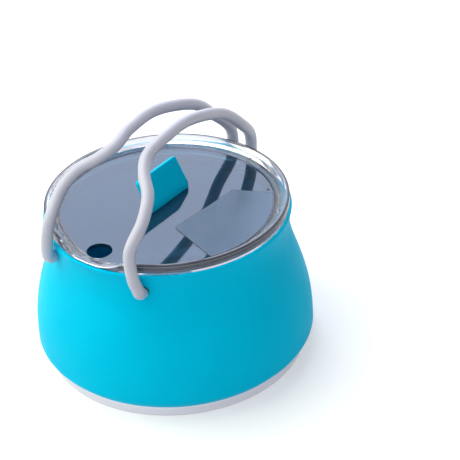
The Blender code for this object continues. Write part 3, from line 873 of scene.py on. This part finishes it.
def rounded_ring(centre, across, half_thickness, half_length, rounding):
    """A rounded rectangle about a point: across in X and Z, along in Y."""
    ring = []
    for thick_side, long_side, start in ((1, 1, 0), (-1, 1, 1), (-1, -1, 2), (1, -1, 3)):
        for step in range(ROUND_STEPS + 1):
            turn = math.pi / 2 * (start + step / ROUND_STEPS)
            thick = thick_side * (half_thickness - rounding) + rounding * math.cos(turn)
            long = long_side * (half_length - rounding) + rounding * math.sin(turn)
            ring.append(centre + thick * across + Vector((0, long, 0)))
    return ring


def tab_rows():
    """Rows of the tab up its middle: distance from the fold, half thickness and half length."""
    half = TAB_THICKNESS / 2
    neck_half = NECK_THICKNESS / 2
    long_half = TAB_LENGTH / 2
    neck_long_half = NECK_LENGTH / 2
    panel = PANEL_TOP - TAB_AXIS_HEIGHT
    foot = panel + GAP / 3
    rows = [
        (panel - LID_SHEET, neck_half, neck_long_half),
        (foot, neck_half, neck_long_half),
        (foot, half - TAB_FOOT_ROUNDING, long_half - TAB_FOOT_ROUNDING),
    ]
    for step in range(1, ROUND_STEPS + 1):
        turn = math.pi / 2 * step / ROUND_STEPS
        shrink = TAB_FOOT_ROUNDING * (1 - math.sin(turn))
        rows.append((foot + TAB_FOOT_ROUNDING * (1 - math.cos(turn)), half - shrink, long_half - shrink))
    start = rows[-1][0]
    shoulder = TAB_HEIGHT - TAB_CORNER
    for row in range(1, TAB_ROWS + 1):
        rows.append((start + (shoulder - start) * row / TAB_ROWS, half, long_half))
    top = TAB_HEIGHT - TAB_EDGE_ROUNDING
    corner_steps = 2 * ROUND_STEPS
    for step in range(1, corner_steps + 1):
        height = shoulder + (top - shoulder) * math.sin(math.pi / 2 * step / corner_steps)
        share = (height - shoulder) / TAB_CORNER
        rows.append((height, half, long_half - TAB_CORNER * (1 - math.sqrt(1 - share**2))))
    top_half_length = rows[-1][2]
    for step in range(1, ROUND_STEPS + 1):
        turn = math.pi / 2 * step / ROUND_STEPS
        shrink = TAB_EDGE_ROUNDING * (1 - math.cos(turn))
        rows.append((top + TAB_EDGE_ROUNDING * math.sin(turn), half - shrink, top_half_length - shrink))
    return rows


def make_tab(material):
    """The pull tab: a flap that leans to the left, with a neck through the panel and a plate under it."""
    form = bmesh.new()
    lean = Vector((-math.sin(TAB_LEAN), 0, math.cos(TAB_LEAN)))
    floor = PANEL_TOP - TAB_AXIS_HEIGHT
    previous = None
    for height, half_thickness, half_length in tab_rows():
        share = min(max((height - floor) / -floor, 0), 1)
        turn = TAB_LEAN * share
        centre = TAB_PLACE + (lean if height > 0 else UP) * height
        across = Vector((math.cos(turn), 0, math.sin(turn)))
        rounding = min(TAB_EDGE_ROUNDING, half_thickness - GAP)
        places = rounded_ring(centre, across, half_thickness, half_length, rounding)
        ring = [form.verts.new(place) for place in places]
        if previous:
            for index in range(len(ring)):
                after = (index + 1) % len(ring)
                form.faces.new((previous[index], previous[after], ring[after], ring[index]))
        else:
            form.faces.new(ring)
        previous = ring
    form.faces.new(previous)
    flap = link_object("pull_tab", form, material, TAB_SMOOTH_ANGLE)
    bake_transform(flap)
    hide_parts("pull_tab")
    under_top = PANEL_TOP - LID_SHEET - GAP
    outline = rectangle(FOOT_WIDTH, FOOT_LENGTH, TAB_PLACE.xy)
    outline = rounded(outline, dict.fromkeys(range(len(outline)), FOOT_WIDTH / 3))
    root = link_object("pull_tab_root", plate(outline, under_top - FOOT_PLATE, under_top), material)
    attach(root, "lid")
    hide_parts("pull_tab_foot")


def pivot_line(side):
    """A handle's axis: where it pierces the collar at the front and at the rear, and its direction."""
    front_x = side * FRONT_PIVOT_OFFSET
    rear_x = side * REAR_PIVOT_OFFSET - HANDLE_DRIFT
    front = Vector((front_x, -math.sqrt(WAIST_RADIUS**2 - front_x**2), PIVOT_HEIGHT))
    rear = Vector((rear_x, math.sqrt(WAIST_RADIUS**2 - rear_x**2), PIVOT_HEIGHT))
    return front, rear, (rear - front).normalized()


def depth_to_bore(place, inward):
    """How far in along the axis from the collar's outside the inner side of the stiffening ring lies."""
    middle = -place.xy.dot(inward.xy)
    return middle - math.sqrt(middle**2 - (place.xy.length_squared - RING_INNER**2))


def smooth_path(points, steps):
    """Points on a smooth curve through the given points, some steps from each one to the next."""
    curve = []
    for index in range(len(points) - 1):
        before = points[max(index - 1, 0)]
        start, end = points[index], points[index + 1]
        after = points[min(index + 2, len(points) - 1)]
        for step in range(steps):
            t = step / steps
            bend = 2 * before - 5 * start + 4 * end - after
            swing = 3 * start - before - 3 * end + after
            curve.append((2 * start + (end - before) * t + bend * t**2 + swing * t**3) / 2)
    return curve + [points[-1]]


def leg_bend(place, outward):
    """The bend from a pivot's axis up into a leg, as points from the axis to the leg."""
    middle = place + (LEG_STANDOFF - LEG_BEND_RADIUS) * outward + LEG_BEND_RADIUS * UP
    turns = [math.pi / 2 * step / BEND_STEPS for step in range(BEND_STEPS + 1)]
    return [middle + LEG_BEND_RADIUS * (math.sin(turn) * outward - math.cos(turn) * UP) for turn in turns]


def handle_path(side):
    """The sleeve's centre line from its front end to its rear end."""
    front, rear, along = pivot_line(side)
    front_bend = leg_bend(front, -along)
    rear_bend = leg_bend(rear, along)
    bow = []
    for side_share, length_share, height_share in BOW_SHARES:
        lengthways = length_share * WAIST_RADIUS
        drift = HANDLE_DRIFT * (lengthways - front.y) / (-2 * front.y)
        across = side * side_share * FRONT_PIVOT_OFFSET - drift
        up = PIVOT_HEIGHT + height_share * HANDLE_HEIGHT
        bow.append(Vector((across, lengthways, up)))
    arch = smooth_path([front_bend[-1], *bow, rear_bend[-1]], BOW_STEPS)
    start = front - SLEEVE_END_STANDOFF * along
    end = rear + SLEEVE_END_STANDOFF * along
    return [start, *front_bend[:-1], *arch, *rear_bend[-2::-1], end]


def make_bored_rod(name, ends, radius, rounding, material, body):
    """A short rod with rounded ends and a hole for the wire, named as its node is."""
    path, radii = rod_with_round_ends(ends, radius, rounding)
    piece = link_object(name, tube(path, radii, HOLE_SIDES, WIRE_RADIUS + GAP), material)
    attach(piece, body)
    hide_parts(name)
    return piece


def make_bush(name, place, inward, end, material):
    """A bush through the collar and the ring, which stands out a little on both sides."""
    ends = [place - BUSH_PROUD_OUTSIDE * inward, place + end * inward]
    bush = make_bored_rod(name, ends, BUSH_RADIUS, BUSH_ROUNDING, material, "collar")


def make_retainer(name, place, inward, start, material, body):
    """A disc on the wire, next to its bush."""
    ends = [place + start * inward, place + (start + RETAINER_THICKNESS) * inward]
    retainer = make_bored_rod(name, ends, RETAINER_RADIUS, RETAINER_ROUNDING, material, body)


def make_sleeve(body, path, material):
    sleeve_path, radii = rod_with_round_ends(path, SLEEVE_RADIUS, SLEEVE_END_ROUNDING)
    sleeve = link_object(body + "_sleeve", tube(sleeve_path, radii), material)
    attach(sleeve, body)
    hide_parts(body + "_sleeve")


def make_wire(body, path, material):
    wire_path, radii = rod_with_round_ends(path, WIRE_RADIUS, WIRE_RADIUS / 3)
    wire = link_object(body + "_wire", tube(wire_path, radii), material)
    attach(wire, body)
    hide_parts(body + "_wire")


def make_handle(name, side, materials):
    """One handle's sleeve, bushes, retainers and wire."""
    body = name + "_handle"
    front, rear, along = pivot_line(side)
    path = handle_path(side)
    make_sleeve(body, path, materials["sleeve"])
    wire_ends = []
    for place, inward, end in ((front, along, "front"), (rear, -along, "rear")):
        bush_end = depth_to_bore(place, inward) + BUSH_PROUD_INSIDE
        retainer_start = bush_end + GAP
        wire_end = retainer_start + RETAINER_THICKNESS + WIRE_END_PROUD
        corner = end + "_" + name
        make_bush(corner + "_bush", place, inward, bush_end, materials["bush"])
        make_retainer(corner + "_retainer", place, inward, retainer_start, materials["wire"], body)
        wire_ends.append(place + wire_end * inward)
    make_wire(body, [wire_ends[0], *path, wire_ends[1]], materials["wire"])


def make_ring(material):
    """The stiffening ring inside the collar, with its holes for the bushes."""
    bottom = RING_TOP - RING_HEIGHT
    outline = [(RING_OUTER, bottom), (RING_OUTER, RING_TOP), (RING_INNER, RING_TOP), (RING_INNER, bottom)]
    outline = rounded(outline, dict.fromkeys(range(len(outline)), RING_ROUNDING))
    ring = link_object("stiffening_ring", turned(outline), material)
    cut_bush_holes(ring, BUSH_RADIUS, 4 * BUSH_RADIUS)
    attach(ring, "collar")
    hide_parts("stiffening_ring")


def seen_directly(tree):
    """1 for a ray from the camera or one passed on by gloss or glass, 0 for the light on matt surfaces."""
    path = tree.nodes.new("ShaderNodeLightPath")
    seen = path.outputs["Is Camera Ray"]
    for kind in ("Is Glossy Ray", "Is Transmission Ray"):
        either = tree.nodes.new("ShaderNodeMath")
        either.operation = "MAXIMUM"
        tree.links.new(seen, either.inputs[0])
        tree.links.new(path.outputs[kind], either.inputs[1])
        seen = either.outputs[0]
    return seen


def make_floor():
    """A plain pale floor that keeps the object's shadow and turns white away from it."""
    form = bmesh.new()
    bmesh.ops.create_grid(form, x_segments=1, y_segments=1, size=FLOOR_SIZE / 2)
    shader = Shader("floor", FLOOR)
    shader.rough(shader.noise(FLOOR_GRAIN, detail=2), FLOOR_ROUGHNESS, (0, 1))
    shader.set("Emission Color", WHITE)
    radius, _ = shader.radius_and_height()
    glow = shader.spread(radius, FLOOR_GLOW, WHITE_LEVEL, FLOOR_SHADOW_REACH, FLOOR_WHITE_FROM)
    shader.link(shader.product(seen_directly(shader.tree), glow), "Emission Strength")
    link_object("floor", form, shader.material)


def make_camera():
    """The photograph's camera, its axes squared up."""
    data = bpy.data.cameras.new("camera")
    data.sensor_width = CAMERA_SENSOR
    data.lens = CAMERA_LENS
    data.clip_start = CAMERA_NEAR
    data.clip_end = CAMERA_FAR
    camera = bpy.data.objects.new("camera", data)
    bpy.context.scene.collection.objects.link(camera)
    back = CAMERA_RIGHT.cross(CAMERA_UP).normalized()
    up = back.cross(CAMERA_RIGHT).normalized()
    right = up.cross(back)
    turn = Matrix((right, up, back)).transposed()
    camera.matrix_world = Matrix.Translation(CAMERA_PLACE) @ turn.to_4x4()
    bpy.context.scene.camera = camera


def make_light(name, place, size, power, colour):
    """A square lamp that faces the kettle."""
    data = bpy.data.lights.new(name, "AREA")
    data.size = size
    data.energy = power
    data.color = colour
    light = bpy.data.objects.new(name, data)
    bpy.context.scene.collection.objects.link(light)
    turn = (place - LIGHT_AIM).to_track_quat("Z", "Y")
    light.matrix_world = Matrix.Translation(place) @ turn.to_matrix().to_4x4()


def make_world():
    """White behind the object and in its reflections, and a lower, even light on it."""
    world = bpy.data.worlds.new("studio")
    bpy.context.scene.world = world
    world.use_nodes = True
    tree = world.node_tree
    background = tree.nodes["Background"]
    background.inputs["Color"].default_value = WHITE
    seen = seen_directly(tree)
    level = tree.nodes.new("ShaderNodeMapRange")
    level.inputs["To Min"].default_value = SKY_LEVEL
    level.inputs["To Max"].default_value = WHITE_LEVEL
    tree.links.new(seen, level.inputs["Value"])
    tree.links.new(level.outputs["Result"], background.inputs["Strength"])


def main():
    make_camera()
    silicone = silicone_shader()
    materials = {
        "sleeve": sleeve_shader(),
        "wire": plain_shader("steel_wire", WIRE, WIRE_ROUGHNESS, metallic=1.0),
        "bush": plain_shader("dark_plastic", BUSH, BUSH_ROUGHNESS),
    }
    make_body(silicone)
    make_pan(pan_shader())
    make_ring(materials["bush"])
    make_lid(panel_shader(), rim_shader())
    make_label(label_shader(), plain_shader("label_edge", LABEL_EDGE, LABEL_EDGE_ROUGHNESS))
    make_tab(silicone)
    for name, side in (("left", -1), ("right", 1)):
        make_handle(name, side, materials)
    make_floor()
    for lamp in LAMPS:
        make_light(*lamp)
    make_world()
    bpy.context.scene.view_settings.view_transform = "Standard"


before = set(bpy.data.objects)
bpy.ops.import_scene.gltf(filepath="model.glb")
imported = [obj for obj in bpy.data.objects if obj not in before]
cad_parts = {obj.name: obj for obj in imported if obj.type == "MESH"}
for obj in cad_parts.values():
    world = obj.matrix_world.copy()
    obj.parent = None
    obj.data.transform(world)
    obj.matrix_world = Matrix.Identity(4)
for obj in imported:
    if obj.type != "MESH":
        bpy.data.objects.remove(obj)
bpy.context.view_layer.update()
main()
